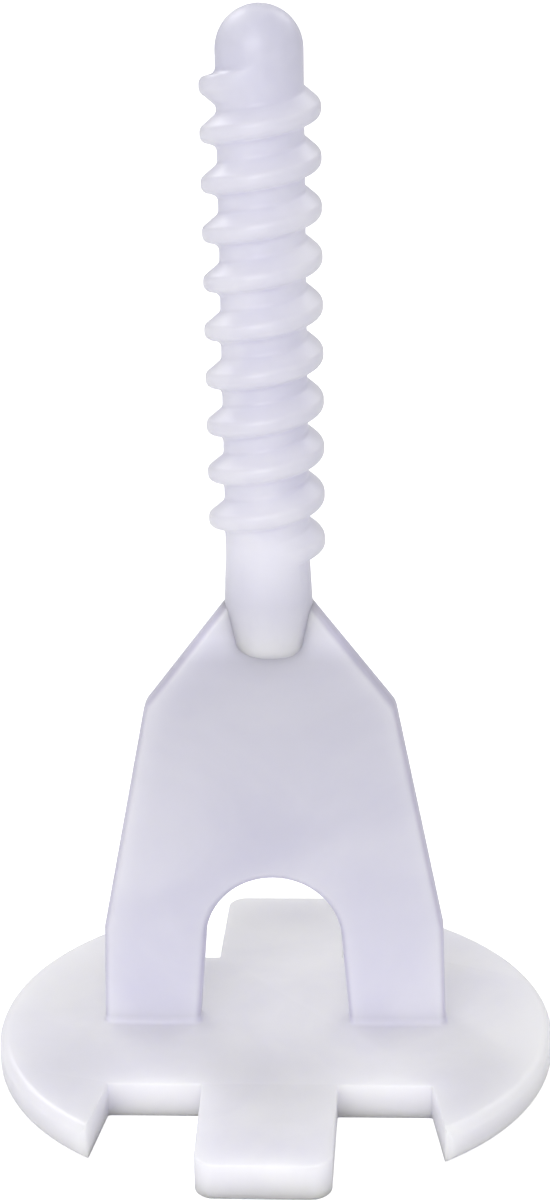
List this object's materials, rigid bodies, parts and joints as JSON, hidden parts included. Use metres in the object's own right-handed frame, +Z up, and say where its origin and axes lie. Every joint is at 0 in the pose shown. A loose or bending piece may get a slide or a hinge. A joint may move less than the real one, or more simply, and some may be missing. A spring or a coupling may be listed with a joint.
{
  "type": "tile levelling spacer post",
  "caption": "Screw-type tile levelling spacer: a notched round base plate, a thin break-off web with an arched window, and a coarse threaded post that takes a screw-on cap.",
  "frame": {"origin": "on the threaded post's axis, at the underside of the base plate", "axes": "+Z up along the post; +X along the width of the thin web and the line of its two legs; +Y across the web, from the front tab to the rear tab"},
  "size_m": [0.037, 0.0376, 0.0692],
  "materials": {
    "natural_nylon": "uncoloured moulded nylon or polypropylene, frosted and slightly translucent, satin"
  },
  "bodies": {
    "root": {"left_wing": "natural_nylon", "right_wing": "natural_nylon", "centre_bar": "natural_nylon", "front_tab": "natural_nylon", "rear_tab": "natural_nylon", "left_leg": "natural_nylon", "right_leg": "natural_nylon", "blade": "natural_nylon", "shoulder": "natural_nylon", "neck": "natural_nylon", "thread_core": "natural_nylon", "thread_ridge": "natural_nylon", "post_tip": "natural_nylon"}
  },
  "joints": []
}
